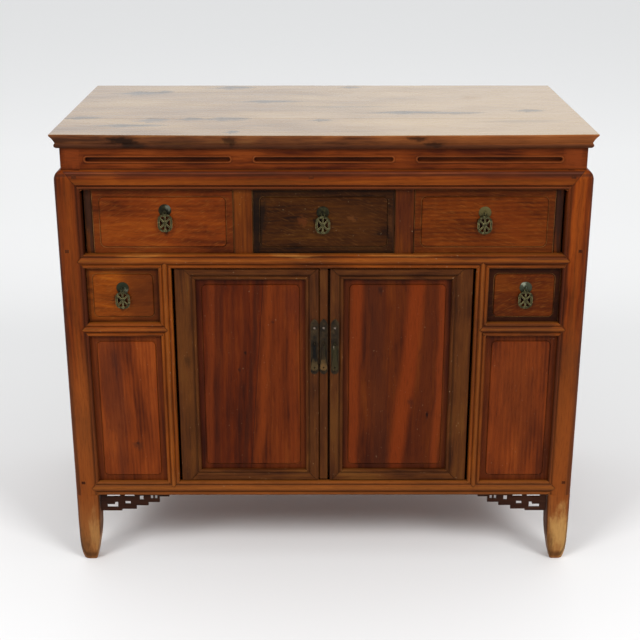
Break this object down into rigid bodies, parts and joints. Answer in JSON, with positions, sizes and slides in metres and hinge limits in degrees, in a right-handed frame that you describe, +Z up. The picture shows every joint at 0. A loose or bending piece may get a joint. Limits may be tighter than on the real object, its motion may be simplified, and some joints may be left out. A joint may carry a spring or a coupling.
{
  "type": "sideboard",
  "caption": "Chinese hardwood sideboard: drawers over framed doors and side columns, carved recessed waist, moulded top, bronze pulls, drawn-in feet.",
  "frame": {"origin": "middle of the footprint on the floor", "axes": "+Z up, +X to the right along the width, front towards -Y"},
  "size_m": [1.106, 0.6, 0.975],
  "materials": {
    "frame_wood": "old polish, satin",
    "top_wood": "old polish, satin",
    "panel_wood": "old polish, satin",
    "door_wood": "old polish, satin",
    "drawer_wood": "old polish, satin",
    "dark_drawer_wood": "old polish, satin",
    "inner_wood": "unfinished",
    "peg_wood": "old polish, satin",
    "bronze": "darkened, rubbed bright on the high spots"
  },
  "bodies": {
    "carcass": {"back_panels": "inner_wood", "column_panels": "panel_wood", "column_rails": "frame_wood", "corner_brackets": "frame_wood", "cupboard_floor": "inner_wood", "divider_left": "frame_wood", "divider_right": "frame_wood", "drawer_muntins": "frame_wood", "drawer_partitions": "inner_wood", "drawer_runners": "inner_wood", "leg_front_left": "frame_wood", "leg_front_right": "frame_wood", "leg_rear_left": "frame_wood", "leg_rear_right": "frame_wood", "lower_rail_front": "frame_wood", "lower_rails_side": "frame_wood", "middle_rail_front": "frame_wood", "middle_rails_side": "frame_wood", "rear_frame": "inner_wood", "side_panels": "panel_wood", "tenon_pegs": "peg_wood", "top_battens": "inner_wood", "top_boards": "top_wood", "upper_rail_front": "frame_wood", "upper_rails_side": "frame_wood", "waist_front": "frame_wood", "waist_rear": "inner_wood", "waist_sides": "frame_wood"},
    "drawer_left": {"drawer_left_front": "drawer_wood", "drawer_left_box": "inner_wood", "drawer_left_plate": "bronze"},
    "drawer_left_pull": {"drawer_left_pendant": "bronze"},
    "drawer_centre": {"drawer_centre_front": "dark_drawer_wood", "drawer_centre_box": "inner_wood", "drawer_centre_plate": "bronze"},
    "drawer_centre_pull": {"drawer_centre_pendant": "bronze"},
    "drawer_right": {"drawer_right_front": "drawer_wood", "drawer_right_box": "inner_wood", "drawer_right_plate": "bronze"},
    "drawer_right_pull": {"drawer_right_pendant": "bronze"},
    "drawer_small_left": {"drawer_small_left_front": "drawer_wood", "drawer_small_left_box": "inner_wood", "drawer_small_left_plate": "bronze"},
    "drawer_small_left_pull": {"drawer_small_left_pendant": "bronze"},
    "drawer_small_right": {"drawer_small_right_front": "drawer_wood", "drawer_small_right_box": "inner_wood", "drawer_small_right_plate": "bronze"},
    "drawer_small_right_pull": {"drawer_small_right_pendant": "bronze"},
    "door_left": {"door_left_frame": "door_wood", "door_left_panel": "panel_wood", "door_left_plate": "bronze"},
    "door_left_pull": {"door_left_pendant": "bronze"},
    "door_right": {"door_right_frame": "door_wood", "door_right_panel": "panel_wood", "door_right_plate": "bronze"},
    "door_right_pull": {"door_right_pendant": "bronze"},
    "centre_post": {"centre_post": "door_wood", "centre_post_plate": "bronze"},
    "centre_post_pull": {"centre_post_pendant": "bronze"}
  },
  "joints": [
    {"name": "drawer_left_slide", "type": "slide", "parent": "carcass", "child": "drawer_left", "axis": [0, -1, 0], "range_m": [0, 0.36]},
    {"name": "drawer_centre_slide", "type": "slide", "parent": "carcass", "child": "drawer_centre", "axis": [0, -1, 0], "range_m": [0, 0.36]},
    {"name": "drawer_right_slide", "type": "slide", "parent": "carcass", "child": "drawer_right", "axis": [0, -1, 0], "range_m": [0, 0.36]},
    {"name": "drawer_small_left_slide", "type": "slide", "parent": "carcass", "child": "drawer_small_left", "axis": [0, -1, 0], "range_m": [0, 0.3]},
    {"name": "drawer_small_right_slide", "type": "slide", "parent": "carcass", "child": "drawer_small_right", "axis": [0, -1, 0], "range_m": [0, 0.3]},
    {"name": "door_left_hinge", "type": "hinge", "parent": "carcass", "child": "door_left", "pos_m": [-0.302, -0.28, 0.444], "axis": [0, 0, -1], "range_deg": [0, 90]},
    {"name": "door_right_hinge", "type": "hinge", "parent": "carcass", "child": "door_right", "pos_m": [0.302, -0.28, 0.444], "axis": [0, 0, 1], "range_deg": [0, 90]},
    {"name": "centre_post_lift", "type": "slide", "parent": "carcass", "child": "centre_post", "axis": [0, 0, 1], "range_m": [0, 0.012]},
    {"name": "drawer_left_pull_swing", "type": "hinge", "parent": "drawer_left", "child": "drawer_left_pull", "pos_m": [-0.32675, -0.294, 0.815], "axis": [-1, 0, 0], "range_deg": [0, 150]},
    {"name": "drawer_centre_pull_swing", "type": "hinge", "parent": "drawer_centre", "child": "drawer_centre_pull", "pos_m": [-0.002, -0.294, 0.8105], "axis": [-1, 0, 0], "range_deg": [0, 150]},
    {"name": "drawer_right_pull_swing", "type": "hinge", "parent": "drawer_right", "child": "drawer_right_pull", "pos_m": [0.33175, -0.294, 0.81], "axis": [-1, 0, 0], "range_deg": [0, 150]},
    {"name": "drawer_small_left_pull_swing", "type": "hinge", "parent": "drawer_small_left", "child": "drawer_small_left_pull", "pos_m": [-0.4225, -0.294, 0.647], "axis": [-1, 0, 0], "range_deg": [0, 150]},
    {"name": "drawer_small_right_pull_swing", "type": "hinge", "parent": "drawer_small_right", "child": "drawer_small_right_pull", "pos_m": [0.4245, -0.294, 0.6475], "axis": [-1, 0, 0], "range_deg": [0, 150]},
    {"name": "door_left_pull_swing", "type": "hinge", "parent": "door_left", "child": "door_left_pull", "pos_m": [-0.0195, -0.2955, 0.524], "axis": [-1, 0, 0], "range_deg": [0, 165]},
    {"name": "centre_post_pull_swing", "type": "hinge", "parent": "centre_post", "child": "centre_post_pull", "pos_m": [0, -0.2945, 0.524], "axis": [-1, 0, 0], "range_deg": [0, 165]},
    {"name": "door_right_pull_swing", "type": "hinge", "parent": "door_right", "child": "door_right_pull", "pos_m": [0.024, -0.2955, 0.524], "axis": [-1, 0, 0], "range_deg": [0, 165]}
  ]
}
